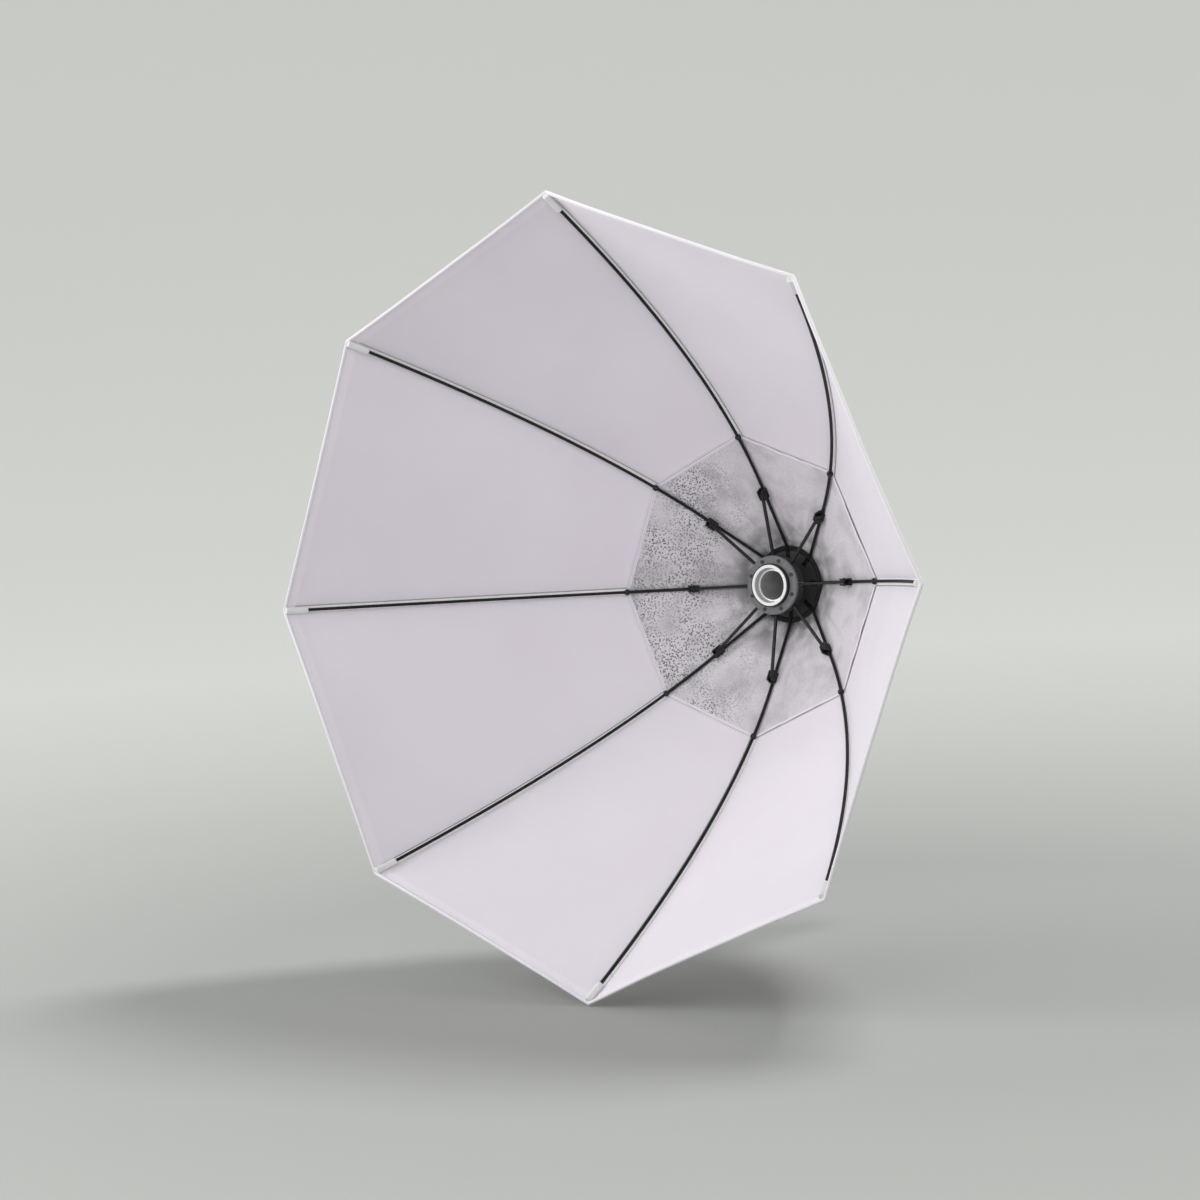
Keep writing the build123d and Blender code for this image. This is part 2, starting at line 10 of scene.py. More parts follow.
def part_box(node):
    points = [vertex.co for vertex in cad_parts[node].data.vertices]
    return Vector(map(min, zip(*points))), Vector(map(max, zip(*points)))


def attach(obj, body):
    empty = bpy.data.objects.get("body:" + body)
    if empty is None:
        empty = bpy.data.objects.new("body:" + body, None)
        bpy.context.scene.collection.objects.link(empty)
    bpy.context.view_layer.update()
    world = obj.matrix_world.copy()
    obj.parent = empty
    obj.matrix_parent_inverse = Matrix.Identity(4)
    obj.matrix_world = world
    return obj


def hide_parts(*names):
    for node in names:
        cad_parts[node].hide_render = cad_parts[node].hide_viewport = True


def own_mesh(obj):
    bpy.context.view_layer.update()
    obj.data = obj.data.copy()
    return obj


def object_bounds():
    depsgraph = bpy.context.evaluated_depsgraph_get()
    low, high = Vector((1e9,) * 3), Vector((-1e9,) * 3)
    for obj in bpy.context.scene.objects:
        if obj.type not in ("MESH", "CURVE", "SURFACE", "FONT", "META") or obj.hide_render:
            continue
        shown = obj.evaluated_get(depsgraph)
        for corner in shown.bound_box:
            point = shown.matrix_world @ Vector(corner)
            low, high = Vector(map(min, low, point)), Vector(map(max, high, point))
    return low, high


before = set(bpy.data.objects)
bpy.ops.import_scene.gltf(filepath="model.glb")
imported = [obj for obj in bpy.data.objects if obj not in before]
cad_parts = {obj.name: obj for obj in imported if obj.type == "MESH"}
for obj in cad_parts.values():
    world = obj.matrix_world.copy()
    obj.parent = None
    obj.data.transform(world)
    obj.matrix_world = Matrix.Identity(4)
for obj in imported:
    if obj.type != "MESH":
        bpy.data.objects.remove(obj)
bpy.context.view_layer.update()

# The ribs' side view, as (distance from the axis, rearward), in metres
RIBS = 8
STEP = 2 * pi / RIBS
HALF_STEP = STEP / 2
CROWN_PIVOT = (0.027, 0.0356)
KNEE = (0.09541, -0.00879)
CONTROL = (0.21833, -0.08855)
TIP = (0.350, -0.3194)
FOLD_TURN = radians(41.46)

# The canopy and its lining lie behind the ribs and start at the crown
CLOTH_START = 0.0334
STRAIGHT_SHARE = 0.13
LINING_END = STRAIGHT_SHARE + 0.197 * (1 - STRAIGHT_SHARE)
CANOPY_DEPTH = 0.00335
CANOPY_THICKNESS = 0.0005
LINING_DEPTH = 0.0023
LINING_THICKNESS = 0.0004
CANOPY_SAG = 0.0018
PUCKER_HEIGHT = 0.00016
PUCKER_REACH = 0.008
SOFT_HEIGHT = 0.00042
LINING_SAG = 0.0034
LINING_FINE_SAG = 0.0006
# Shares of the rib at which the cloth is cut across
BANDS = (0.0, 0.05, 0.13, LINING_END, 0.40, 0.50, 0.58, 0.66, 0.74, 0.81, 0.87, 0.935, 1.0)
# Share of cloth left over in the fold, added to the share that fold() works out
FOLD_SPARE = 0.022

# Hems, seams and stitches
HEM_SHARE = 0.018
HEM_LIFT = 0.00045
PIPING_RADIUS = 0.0017
LINING_HEM_SHARE = 0.006
LINING_HEM_LIFT = 0.0003
LINING_PIPING_RADIUS = 0.0008
TUBE_SIDES = 8
SEAM_NARROW = 0.0022
SEAM_ALLOWANCE = 0.0046
SEAM_LIFT = 0.0005
OVERLOCK_SHADOW_LINE_RADIUS = 0.0006
STITCH_LENGTH = 0.0026
STITCH_STEP = 0.0038
STITCH_RADIUS = 0.00022

# Camera at the photograph's angle
CAMERA_PLACE = (1.23973, -1.83710, 0.02213)
CAMERA_TURN = (89.278, 2.998, 38.359)
CAMERA_LENS = 67.73


# ---------------------------------------------------------------- materials

def new_material(name, roughness=0.5, metallic=0.0, sheen=0.0, coat=0.0, specular=0.5):
    material = bpy.data.materials.new(name)
    material.use_nodes = True
    shader = material.node_tree.nodes["Principled BSDF"]
    shader.inputs["Roughness"].default_value = roughness
    shader.inputs["Metallic"].default_value = metallic
    shader.inputs["Sheen Weight"].default_value = sheen
    shader.inputs["Coat Weight"].default_value = coat
    shader.inputs["Specular IOR Level"].default_value = specular
    return material, material.node_tree, shader


def add_node(tree, kind, **values):
    """A node whose settings and inputs are given by name."""
    node = tree.nodes.new(kind)
    for key, value in values.items():
        if key in node.inputs:
            node.inputs[key].default_value = value
        else:
            setattr(node, key, value)
    return node


def place_of(tree, uv=False):
    coordinates = tree.nodes.new("ShaderNodeTexCoord")
    return coordinates.outputs["UV" if uv else "Object"]


def noise(tree, place, scale, detail=3.0):
    node = add_node(tree, "ShaderNodeTexNoise", Scale=scale, Detail=detail)
    tree.links.new(place, node.inputs["Vector"])
    return node.outputs["Fac"]


def ramp(tree, value, low, high, to_low=0.0, to_high=1.0):
    """The value stretched so that low gives to_low and high to_high, and held between them."""
    node = tree.nodes.new("ShaderNodeMapRange")
    node.inputs["From Min"].default_value = low
    node.inputs["From Max"].default_value = high
    node.inputs["To Min"].default_value = to_low
    node.inputs["To Max"].default_value = to_high
    tree.links.new(value, node.inputs["Value"])
    return node.outputs["Result"]


def maths(tree, operation, a, b):
    node = tree.nodes.new("ShaderNodeMath")
    node.operation = operation
    for socket, value in zip(node.inputs, (a, b)):
        if isinstance(value, float):
            socket.default_value = value
        else:
            tree.links.new(value, socket)
    return node.outputs["Value"]


def mix(tree, share, colour_a, colour_b):
    """Colour a where the share is 0, colour b where it is 1. Either may be another mix."""
    node = tree.nodes.new("ShaderNodeMix")
    node.data_type = "RGBA"
    tree.links.new(share, node.inputs["Factor"])
    for socket, colour in ((node.inputs[6], colour_a), (node.inputs[7], colour_b)):
        if isinstance(colour, tuple):
            socket.default_value = (*colour, 1)
        else:
            tree.links.new(colour, socket)
    return node.outputs[2]


def distance_from_origin(tree, place):
    node = tree.nodes.new("ShaderNodeVectorMath")
    node.operation = "LENGTH"
    tree.links.new(place, node.inputs[0])
    return node.outputs["Value"]


def distance_from_axis(tree, place):
    """The umbrella's axis is the Y axis."""
    node = tree.nodes.new("ShaderNodeVectorMath")
    node.operation = "MULTIPLY"
    node.inputs[1].default_value = (1, 0, 1)
    tree.links.new(place, node.inputs[0])
    return distance_from_origin(tree, node.outputs["Vector"])


def bump(tree, shader, height, strength, distance):
    node = add_node(tree, "ShaderNodeBump", Strength=strength, Distance=distance)
    tree.links.new(height, node.inputs["Height"])
    tree.links.new(node.outputs["Normal"], shader.inputs["Normal"])


def worn(tree, low=0.52, high=0.6):
    """1 on convex edges, where handling wears the finish."""
    geometry = tree.nodes.new("ShaderNodeNewGeometry")
    return ramp(tree, geometry.outputs["Pointiness"], low, high)


def hard_material(name, colour, colour_2, edge, scale, roughness, **finish):
    """Moulded plastic or metal: mottled colour, lighter worn edges and a fine grain."""
    material, tree, shader = new_material(name, roughness, **finish)
    place = place_of(tree)
    mottled = mix(tree, noise(tree, place, scale), colour, colour_2)
    base = mix(tree, worn(tree), mottled, edge)
    tree.links.new(base, shader.inputs["Base Color"])
    gloss = ramp(tree, noise(tree, place, scale * 4), 0.3, 0.7, roughness - 0.08, roughness + 0.1)
    tree.links.new(gloss, shader.inputs["Roughness"])
    bump(tree, shader, noise(tree, place, scale * 12, 2.0), 0.25, 0.0001)
    return material


def thread_waves(tree, place, pitch):
    """Crossing threads at the pitch, from the cloth's own UV map, which is in metres."""
    waves = []
    for direction in ("X", "Y"):
        node = add_node(tree, "ShaderNodeTexWave", Scale=pi / (10 * pitch), Distortion=0.4)
        node.bands_direction = direction
        tree.links.new(place, node.inputs["Vector"])
        waves.append(node.outputs["Fac"])
    return maths(tree, "MULTIPLY", waves[0], waves[1])


def cloth_material(name, colour, colour_2, pitch, weave=0.3, sheen=0.25, roughness=0.62):
    """Woven nylon: threads, a slow drift of colour and faint creases."""
    material, tree, shader = new_material(name, roughness, sheen=sheen, specular=0.3)
    shader.inputs["Sheen Roughness"].default_value = 0.4
    threads = thread_waves(tree, place_of(tree, uv=True), pitch)
    place = place_of(tree)
    drift = ramp(tree, noise(tree, place, 9.0), 0.3, 0.75)
    base = mix(tree, drift, colour, colour_2)
    darker = tuple(channel * 0.9 for channel in colour_2)
    base = mix(tree, maths(tree, "MULTIPLY", threads, 0.35), base, darker)
    tree.links.new(base, shader.inputs["Base Color"])
    creases = noise(tree, place, 55.0, 5.0)
    height = maths(tree, "ADD", maths(tree, "MULTIPLY", threads, 0.25), creases)
    bump(tree, shader, height, weave, 0.0006)
    return material, tree, shader, base, place


CANOPY_INSIDE = cloth_material(
    "canopy_inside", (0.84, 0.79, 0.86), (0.885, 0.84, 0.905), 0.0009
)[0]
CANOPY_HEM = cloth_material("canopy_hem", (0.87, 0.82, 0.89), (0.91, 0.87, 0.93), 0.0012, 0.3)[0]
SEAM_WHITE_PAINTED_LIGHT = cloth_material("seam_white_painted_light", (0.95, 0.93, 0.96), (0.98, 0.97, 0.98), 0.0012, 0.3)[0]
# Painted light: the seam tape is whiter than the canopy and glows faintly, lit where the rib shades
# it; the glow stands for the daylight that comes through the thin tape from behind
seam_shader = SEAM_WHITE_PAINTED_LIGHT.node_tree.nodes["Principled BSDF"]
seam_shader.inputs["Emission Color"].default_value = (1.0, 0.98, 1.0, 1)
seam_shader.inputs["Emission Strength"].default_value = 0.16
BLACK_TAPE = cloth_material("black_tape", (0.010, 0.010, 0.011), (0.02, 0.02, 0.022), 0.001)[0]


def lining_material():
    """Open white mesh: dark where its holes cluster, most of all on the left side, with grey patches
    of painted shade where its folds fall and painted shade darkening it towards the hub.
    """
    material, tree, shader, base, place = cloth_material(
        "lining_mesh", (0.70, 0.67, 0.71), (0.84, 0.80, 0.85), 0.0016, 0.8
    )
    holes = add_node(tree, "ShaderNodeTexVoronoi", Scale=470.0, Randomness=1.0)
    tree.links.new(place, holes.inputs["Vector"])
    dots = ramp(tree, holes.outputs["Distance"], 0.5, 0.22)
    split = tree.nodes.new("ShaderNodeSeparateXYZ")
    tree.links.new(place, split.inputs["Vector"])
    to_left = ramp(tree, split.outputs["X"], -0.005, -0.06)
    patches = ramp(tree, noise(tree, place, 26.0, 2.0), 0.34, 0.56)
    from_axis = distance_from_axis(tree, place)
    outer = ramp(tree, from_axis, 0.048, 0.085)
    share = maths(tree, "MULTIPLY", maths(tree, "MULTIPLY", dots, patches), to_left)
    share = maths(tree, "MULTIPLY", share, outer)
    faint = maths(tree, "MULTIPLY", dots, 0.12)
    share = maths(tree, "MAXIMUM", share, faint)
    speckled = mix(tree, share, base, (0.06, 0.06, 0.07))
    # Painted shade: grey patches where the lining's folds fall
    painted_fold_shade = ramp(tree, noise(tree, place, 34.0, 4.0), 0.46, 0.70, 0.0, 0.6)
    fold_shaded = mix(tree, painted_fold_shade, speckled, (0.42, 0.41, 0.43))
    # Painted shade: the lining darkens towards the crown, where the hub shades it
    near_hub = ramp(tree, from_axis, 0.072, 0.038, 0.0, 0.92)
    painted_hub_shade = maths(tree, "MULTIPLY", near_hub, ramp(tree, noise(tree, place, 60.0), 0.35, 0.6))
    tree.links.new(mix(tree, painted_hub_shade, fold_shaded, (0.10, 0.10, 0.11)), shader.inputs["Base Color"])
    return material


LINING_MESH = lining_material()
BLACK_PAINT = hard_material(
    "rib_black_paint", (0.006, 0.006, 0.007), (0.014, 0.014, 0.015), (0.02, 0.02, 0.02),
    90.0, 0.5, specular=0.25,
)
BLACK_PLASTIC = hard_material(
    "black_plastic", (0.008, 0.008, 0.009), (0.018, 0.018, 0.02), (0.035, 0.035, 0.035), 120.0, 0.5,
    specular=0.3,
)
GREY_PLATE = hard_material(
    "grey_plate", (0.018, 0.018, 0.02), (0.085, 0.085, 0.09), (0.22, 0.22, 0.23), 130.0, 0.55,
    specular=0.2,
)
WHITE_PLASTIC = hard_material(
    "white_plastic", (0.78, 0.78, 0.79), (0.86, 0.86, 0.86), (0.93, 0.93, 0.93), 90.0, 0.35
)
TUBE_ALLOY = hard_material(
    "tube_alloy", (0.30, 0.30, 0.31), (0.42, 0.42, 0.43), (0.7, 0.7, 0.7), 70.0, 0.35,
    metallic=0.6,
)


def bright_front(material, grey_from, bright_to):
    """Near white where it faces the opening: the colour changes along the axis, in metres."""
    tree = material.node_tree
    shader = tree.nodes["Principled BSDF"]
    base = shader.inputs["Base Color"].links[0].from_socket
    split = tree.nodes.new("ShaderNodeSeparateXYZ")
    tree.links.new(place_of(tree), split.inputs["Vector"])
    front = ramp(tree, split.outputs["Y"], grey_from, bright_to)
    tree.links.new(mix(tree, front, base, (0.97, 0.97, 0.97)), shader.inputs["Base Color"])
    return material


RING_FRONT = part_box("mouth_ring")[0][1]
RING_ENAMEL = bright_front(
    hard_material(
        "ring_enamel", (0.40, 0.40, 0.41), (0.5, 0.5, 0.51), (0.95, 0.95, 0.95), 60.0, 0.3,
        coat=0.4,
    ),
    RING_FRONT + 0.0011, RING_FRONT + 0.0006,
)
TUBE_ALLOY = bright_front(TUBE_ALLOY, 0.0006, 0.0002)
DARK_SCREW = hard_material(
    "dark_screw", (0.004, 0.004, 0.004), (0.009, 0.009, 0.01), (0.05, 0.05, 0.05), 300.0, 0.5,
    specular=0.3,
)
PIN_STEEL = hard_material(
    "pin_steel", (0.35, 0.35, 0.36), (0.45, 0.45, 0.46), (0.7, 0.7, 0.7), 300.0, 0.3,
    metallic=0.9,
)
# Painted shade: the grey overlock thread lies where the rib's shadow line falls beside each seam
OVERLOCK_SHADOW_THREAD = hard_material(
    "overlock_shadow_thread", (0.25, 0.25, 0.26), (0.42, 0.42, 0.43), (0.5, 0.5, 0.5), 900.0, 0.8
)

NODE_MATERIALS = {
    "centre_tube": TUBE_ALLOY,
    "mouth_ring": RING_ENAMEL,
    "runner": BLACK_PLASTIC,
    "runner_plate": GREY_PLATE,
    "plate_screws": DARK_SCREW,
    "stretcher_pins": PIN_STEEL,
    "crown": BLACK_PLASTIC,
    "crown_cap": BLACK_PLASTIC,
    "crown_screws": DARK_SCREW,
    "rear_collar": BLACK_PLASTIC,
    "crown_lock_screw": BLACK_PLASTIC,
    "rod_clamp_screw": BLACK_PLASTIC,
    "stretcher": BLACK_PAINT,
    "rib_bracket": BLACK_PLASTIC,
    "tip_cap": WHITE_PLASTIC,
    "rib": BLACK_PAINT,
}


def finish_of(node_name):
    """The material of a CAD node, by its name without the rib's number."""
    plain = node_name.rstrip("0123456789").rstrip("_")
    return NODE_MATERIALS.get(plain)


for node_name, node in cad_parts.items():
    finish = finish_of(node_name)
    if finish:
        for material_slot in node.material_slots:
            material_slot.material = finish


# ---------------------------------------------------------------- cloth surface

def turned(vector):
    """A quarter turn: from running outward to facing rearward."""
    return np.array((-vector[1], vector[0]))


def unit(vector):
    return vector / np.linalg.norm(vector)


def crossing(point_a, direction_a, point_b, direction_b):
    gap = point_b - point_a
    spread = direction_a[0] * direction_b[1] - direction_a[1] * direction_b[0]
    return point_a + direction_a * (gap[0] * direction_b[1] - gap[1] * direction_b[0]) / spread


def profile(depth):
    """Side view halfway between two ribs, a depth behind them: start, knee, control, end."""
    shrink = np.array((cos(HALF_STEP), 1.0))
    knee, control, end = (np.array(p) * shrink for p in (KNEE, CONTROL, TIP))
    first = unit(control - knee)
    last = unit(end - control)
    start = knee + first * (CLOTH_START - knee[0]) / first[0]
    start, knee = (p + turned(first) * depth for p in (start, knee))
    end = end + turned(last) * depth
    return start, knee, crossing(knee, first, end, last), end


def along_profile(u, depth):
    """Points and rearward normals of the profile at the shares u, as two arrays."""
    start, knee, control, end = profile(depth)
    u = np.asarray(u, float)[:, None]
    straight = np.clip(u / STRAIGHT_SHARE, 0, 1)
    t = np.clip((u - STRAIGHT_SHARE) / (1 - STRAIGHT_SHARE), 0, 1)
    curve = (1 - t) ** 2 * knee + 2 * t * (1 - t) * control + t ** 2 * end
    point = np.where(u < STRAIGHT_SHARE, start + (knee - start) * straight, curve)
    slope = (1 - t) * (control - knee) + t * (end - control)
    slope /= np.linalg.norm(slope, axis=1)[:, None]
    return point, np.stack((-slope[:, 1], slope[:, 0]), 1)


def ripples(a, b, seed):
    """A smooth fixed pattern between about -1 and 1, from a few crossing waves."""
    total = 0
    for k in range(5):
        turn = seed * 1.7 + k * 2.4
        pace = 1 + 0.63 * k
        total = total + np.sin(pace * (a * cos(turn) + b * sin(turn)) + seed * 3.1 + k) / (1 + k)
    return total / 1.9


def canopy_shape(gore, u, side, half_width):
    """How far the canopy stands behind its flat panel: a slight sag and faint puckers."""
    across = 1 - (side / half_width) ** 2
    reach = np.clip((u - LINING_END) / 0.25, 0, 1)
    sag = -CANOPY_SAG * across * reach * (0.6 + 0.4 * u)
    seam_gap = half_width - abs(side)
    pucker = np.sin(u * 260 + 2 * np.sin(u * 31 + gore)) * np.exp(-seam_gap / PUCKER_REACH)
    pucker = pucker * np.clip(seam_gap / 0.003, 0, 1) * PUCKER_HEIGHT
    soft = ripples(u * 16, side * 32, gore) * SOFT_HEIGHT * np.clip(across * 2, 0, 1)
    return sag + (pucker + soft) * np.clip(reach * 2, 0, 1)


def lining_shape(gore, u, side, half_width):
    """The lining hangs looser: folds that run out from the hub, always in front of flat."""
    across = np.clip(1 - (side / half_width) ** 2, 0, 1)
    outward = np.clip(u / LINING_END, 0, 1)
    free_of_hub = np.clip((outward - 0.06) / 0.22, 0, 1)
    folds = np.clip(1 - np.abs(ripples(side / half_width * 6.0, u * 9, gore + 3)), 0, 1)
    fine = 0.5 + 0.5 * ripples(side * 380, u * 60, gore + 9)
    hem = np.sin(pi * np.clip(outward, 0.12, 0.97)) ** 0.6
    return -across * hem * free_of_hub * (LINING_SAG * folds ** 1.5 + LINING_FINE_SAG * fine)


def flat_shape(gore, u, side, half_width):
    return 0 * side


def gore_azimuth(gore):
    """Direction of the gore's middle, seen from the front."""
    return radians(90) + STEP * (gore - 0.5)


def cloth_points(gore, u, sides, depth, shape, lift=0.0):
    """A grid of points: rows run out along u, columns across. sides(half_width) gives them."""
    point, normal = along_profile(u, depth)
    half_width = point[:, :1] * tan(HALF_STEP)
    side = sides(half_width)
    push = shape(gore, np.asarray(u)[:, None], side, half_width) + lift
    out = point[:, :1] + normal[:, :1] * push
    rear = point[:, 1:] + normal[:, 1:] * push
    middle = gore_azimuth(gore)
    x = out * cos(middle) - side * sin(middle)
    z = out * sin(middle) + side * cos(middle)
    return np.stack((x, rear, z), 2), side


def left_half(half_width):
    """From the rib that the gore is numbered for to the gore's middle."""
    return half_width * np.linspace(-1, 0, 15)


def right_half(half_width):
    return half_width * np.linspace(0, 1, 15)


def rib_side_strip(sign, width):
    """A strip of one width beside the seam at sign -1 or +1."""
    def sides(half_width):
        steps = np.linspace(0, 1, 3)[None, :]
        inner = half_width - np.minimum(width, half_width * 0.9) * (1 - steps)
        return np.where(sign > 0, inner, -inner[:, ::-1])
    return sides


def grid_normals(points):
    down = np.gradient(points, axis=0)
    across = np.gradient(points, axis=1)
    normals = np.cross(across, down)
    lengths = np.maximum(np.linalg.norm(normals, axis=2), 1e-12)
    return normals / lengths[:, :, None]


def rows_for(u0, u1, step=0.0125):
    return np.linspace(u0, u1, max(2, int(round((u1 - u0) / step)) + 1))


class Cloth:
    """Gathers grids of cloth, each with two faces and a rim, into one mesh."""

    def __init__(self):
        self.points, self.faces, self.normals, self.uvs = [], [], [], []

    def add_face(self, corners, normals, uvs):
        self.faces.append(corners)
        self.normals.extend(normals)
        self.uvs.extend(uvs)

    def add_grid(self, front, back, side, normals):
        """front and back are (rows, columns, 3) grids a thickness apart."""
        rows, columns = front.shape[:2]
        if np.sum(normals[0, 0] * (back[0, 0] - front[0, 0])) > 0:
            front, back, side = front[:, ::-1], back[:, ::-1], side[:, ::-1]
            normals = -normals[:, ::-1]
        run = np.concatenate(
            ([0], np.cumsum(np.linalg.norm(np.diff(front[:, 0], axis=0), axis=1)))
        )
        base = len(self.points)
        self.points.extend(front.reshape(-1, 3))
        self.points.extend(back.reshape(-1, 3))
        behind = rows * columns

        def corner(row, column):
            return base + row * columns + column

        def spot(row, column):
            return (side[row, column], run[row])

        for row in range(rows - 1):
            for column in range(columns - 1):
                cells = [(row, column), (row, column + 1), (row + 1, column + 1), (row + 1, column)]
                self.add_face(
                    [corner(*c) for c in cells], [normals[c] for c in cells], [spot(*c) for c in cells]
                )
                cells.reverse()
                self.add_face(
                    [corner(*c) + behind for c in cells],
                    [-normals[c] for c in cells],
                    [spot(*c) for c in cells],
                )
        edge = [(row, 0) for row in range(rows)]
        edge += [(rows - 1, column) for column in range(1, columns)]
        edge += [(row, columns - 1) for row in range(rows - 2, -1, -1)]
        edge += [(0, column) for column in range(columns - 2, 0, -1)]
        for cell, after in zip(edge, edge[1:] + edge[:1]):
            corners = [corner(*cell), corner(*after), corner(*after) + behind, corner(*cell) + behind]
            a, b, c = (np.array(self.points[k]) for k in corners[:3])
            flat = np.cross(b - a, c - a)
            flat = flat / max(np.linalg.norm(flat), 1e-12)
            self.add_face(corners, [flat] * 4, [spot(*cell), spot(*after), spot(*after), spot(*cell)])

    def add_stitch(self, middle, direction, outward):
        """A short thread, thickest at its middle, lying on the cloth."""
        direction = unit(direction)
        outward = unit(outward)
        aside = np.cross(direction, outward)
        ends = direction * STITCH_LENGTH / 2
        ring = [middle + (outward * cos(a) + aside * sin(a)) * STITCH_RADIUS
                for a in np.arange(4) * pi / 2]
        base = len(self.points)
        self.points.extend(ring + [middle - ends, middle + ends])
        for k in range(4):
            for tip, order in ((4, (k, (k + 1) % 4)), (5, ((k + 1) % 4, k))):
                corners = [base + order[0], base + order[1], base + tip]
                a, b, c = (np.array(self.points[j]) for j in corners)
                face = unit(np.cross(b - a, c - a))
                self.add_face(corners, [face] * 3, [(0.0, 0.0)] * 3)

    def piece(self, name, material, body):
        mesh = bpy.data.meshes.new(name)
        mesh.from_pydata([tuple(p) for p in self.points], [], self.faces)
        mesh.update()
        layer = mesh.uv_layers.new(name="threads")
        layer.data.foreach_set("uv", np.array(self.uvs, np.float32).ravel())
        for polygon in mesh.polygons:
            polygon.use_smooth = True
        mesh.normals_split_custom_set([tuple(n) for n in self.normals])
        mesh.materials.append(material)
        piece = bpy.data.objects.new(name, mesh)
        bpy.context.scene.collection.objects.link(piece)
        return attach(piece, body)


def add_cloth(cloth, gore, u, sides, depth, thickness, shape, lift=0.0):
    """A grid of cloth whose shading runs on into the band before it and the band after it."""
    step = u[1] - u[0]
    longer = np.concatenate(([u[0] - step], u, [u[-1] + step]))
    normals = grid_normals(cloth_points(gore, longer, sides, depth, shape, lift)[0])[1:-1]
    front, side = cloth_points(gore, u, sides, depth, shape, lift)
    back, side = cloth_points(gore, u, sides, depth, shape, lift + thickness)
    cloth.add_grid(front, back, side, normals)
    return front


# ---------------------------------------------------------------- folding

def folded_share(u):
    """The rib's distance from the axis when folded, as a share of the one when open."""
    point = along_profile([u], 0)[0][0] / (cos(HALF_STEP), 1)
    arm = point - CROWN_PIVOT
    folded = atan2(arm[0], -arm[1]) - FOLD_TURN
    return (CROWN_PIVOT[0] + hypot(*arm) * sin(folded)) / point[0]


def fold(piece, gore, sign, u0, u1, depth, widest):
    """Works out the rib's seam, the direction across it and the share that the cloth has left at
    widest, and gives the piece its own mesh; the piece is not gathered.
    """
    seam = cloth_points(gore, [u0, u1], lambda half: half * sign, depth, flat_shape)[0][:, 0]
    middle = gore_azimuth(gore)
    across = np.array((-sin(middle), 0, cos(middle)))
    run = unit(seam[1] - seam[0])
    across = unit(across - run * (across @ run))
    keep = min(1.0, folded_share(widest) + FOLD_SPARE)
    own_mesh(piece)


def declare_sheet(gore, sign, u0, u1, depth):
    """Works out the flat panel the band was cut to, before any sag or fold; nothing more is done with
    it.
    """
    sides = left_half if sign < 0 else right_half
    flat = cloth_points(gore, rows_for(u0, u1), sides, depth, flat_shape)[0]


# ---------------------------------------------------------------- canopy and lining

HALVES = {"a": (-1, left_half), "b": (1, right_half)}


def rib_of(gore, sign):
    """The rib that this half of the gore is sewn to."""
    return gore if sign < 0 else gore % RIBS + 1


def piping_ring(middle, normal, outward, radius):
    return [middle + (normal * cos(a) + outward * sin(a)) * radius
            for a in np.linspace(0, 2 * pi, TUBE_SIDES, endpoint=False)]


def add_tube(cloth, centres, frames, radius):
    """A round cord along the centres, into the cloth's mesh. frames are (normal, outward)."""
    heading = unit(centres[-1] - centres[0])
    if np.cross(*frames[0]) @ heading < 0:
        centres, frames = centres[::-1], frames[::-1]
        heading = -heading
    base = len(cloth.points)
    for centre, (normal, outward) in zip(centres, frames):
        cloth.points.extend(piping_ring(centre, normal, outward, radius))
    for row in range(len(centres) - 1):
        near = base + row * TUBE_SIDES
        far = near + TUBE_SIDES
        for k in range(TUBE_SIDES):
            ahead = (k + 1) % TUBE_SIDES
            corners = [near + k, near + ahead, far + ahead, far + k]
            owners = (row, row, row + 1, row + 1)
            normals = [unit(cloth.points[c] - centres[o]) for c, o in zip(corners, owners)]
            cloth.add_face(corners, normals, [(k * 0.001, o * 0.005) for o in owners])
    last = base + (len(centres) - 1) * TUBE_SIDES
    no_threads = [(0.0, 0.0)] * TUBE_SIDES
    first_cap = [base + k for k in reversed(range(TUBE_SIDES))]
    last_cap = [last + k for k in range(TUBE_SIDES)]
    cloth.add_face(first_cap, [-heading] * TUBE_SIDES, no_threads)
    cloth.add_face(last_cap, [heading] * TUBE_SIDES, no_threads)


def add_hem(cloth, piping, gore, sides, u_end, depth, shape, radius, width_share, lift):
    """A folded hem on the cloth's outer edge, and the piping that runs along it."""
    u = np.linspace(u_end - width_share, u_end, 4)
    front = add_cloth(cloth, gore, u, sides, depth, lift, shape, -lift)
    normal = grid_normals(front)
    edge = front[-1]
    outward = front[-1] - front[-2]
    frames = [(n, unit(o)) for n, o in zip(normal[-1], outward)]
    add_tube(piping, edge, frames, radius)
    stitch_line = front[1]
    spans = np.linalg.norm(np.diff(stitch_line, axis=0), axis=1).sum()
    count = int(spans / STITCH_STEP)
    for k in range(count):
        place = (k + 0.5) / count * (len(stitch_line) - 1)
        low = int(place)
        step = stitch_line[low + 1] - stitch_line[low]
        cloth.add_stitch(stitch_line[low] + step * (place - low), step, normal[1, low])


